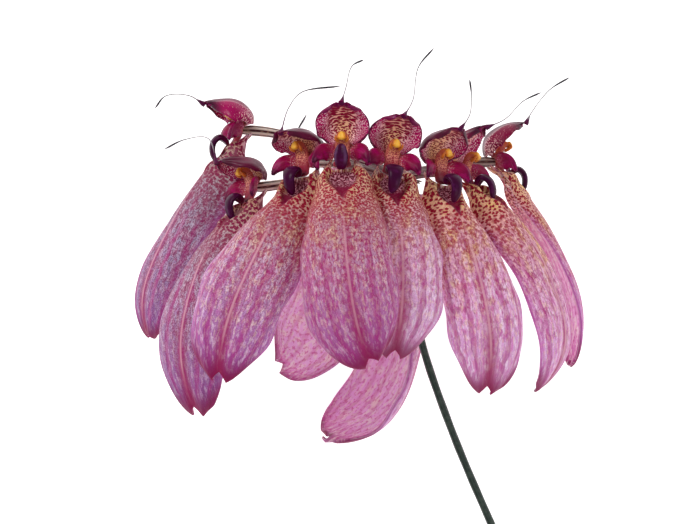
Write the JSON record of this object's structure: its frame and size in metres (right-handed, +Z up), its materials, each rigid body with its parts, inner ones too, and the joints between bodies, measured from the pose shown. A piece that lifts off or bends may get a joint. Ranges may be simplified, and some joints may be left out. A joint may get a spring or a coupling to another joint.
{
  "type": "bulbophyllum orchid",
  "caption": "Cut umbel of a tongue-sepalled orchid lying down: a bare scape whose pedicels end in hooded flowers with long joined lateral sepals.",
  "frame": {"origin": "on the surface the umbel lies on, below the middle of its bounding box", "axes": "+Z up from the surface, +Y from the cut end of the scape towards the hoods, +X to the right for a viewer who looks down on it with +Y away from them"},
  "size_m": [0.0895, 0.112, 0.0673],
  "materials": {
    "scape": "matt dark green, fleshy stem",
    "pedicel": "satin, striped cream green and brown purple",
    "lateral_sepal": "waxy satin, mottled pink and crimson over cream",
    "dorsal_sepal": "waxy satin, cream yellow with dark red spots inside",
    "petal": "waxy satin, deep magenta",
    "lip": "glossy, very dark purple",
    "column": "satin, orange with a yellow cap"
  },
  "bodies": {
    "root": {"scape": "scape", "pedicels": "pedicel", "flower_01_lateral_sepals": "lateral_sepal", "flower_01_dorsal_sepal": "dorsal_sepal", "flower_01_petals": "petal", "flower_01_lip": "lip", "flower_01_column": "column", "flower_02_lateral_sepals": "lateral_sepal", "flower_02_dorsal_sepal": "dorsal_sepal", "flower_02_petals": "petal", "flower_02_lip": "lip", "flower_02_column": "column", "flower_03_lateral_sepals": "lateral_sepal", "flower_03_dorsal_sepal": "dorsal_sepal", "flower_03_petals": "petal", "flower_03_lip": "lip", "flower_03_column": "column", "flower_04_lateral_sepals": "lateral_sepal", "flower_04_dorsal_sepal": "dorsal_sepal", "flower_04_petals": "petal", "flower_04_lip": "lip", "flower_04_column": "column", "flower_05_lateral_sepals": "lateral_sepal", "flower_05_dorsal_sepal": "dorsal_sepal", "flower_05_petals": "petal", "flower_05_lip": "lip", "flower_05_column": "column", "flower_06_lateral_sepals": "lateral_sepal", "flower_06_dorsal_sepal": "dorsal_sepal", "flower_06_petals": "petal", "flower_06_lip": "lip", "flower_06_column": "column", "flower_07_lateral_sepals": "lateral_sepal", "flower_07_dorsal_sepal": "dorsal_sepal", "flower_07_petals": "petal", "flower_07_lip": "lip", "flower_07_column": "column", "flower_08_lateral_sepals": "lateral_sepal", "flower_08_dorsal_sepal": "dorsal_sepal", "flower_08_petals": "petal", "flower_08_lip": "lip", "flower_08_column": "column", "flower_09_lateral_sepals": "lateral_sepal", "flower_09_dorsal_sepal": "dorsal_sepal", "flower_09_petals": "petal", "flower_09_lip": "lip", "flower_09_column": "column", "flower_10_lateral_sepals": "lateral_sepal", "flower_10_dorsal_sepal": "dorsal_sepal", "flower_10_petals": "petal", "flower_10_lip": "lip", "flower_10_column": "column"}
  },
  "joints": []
}
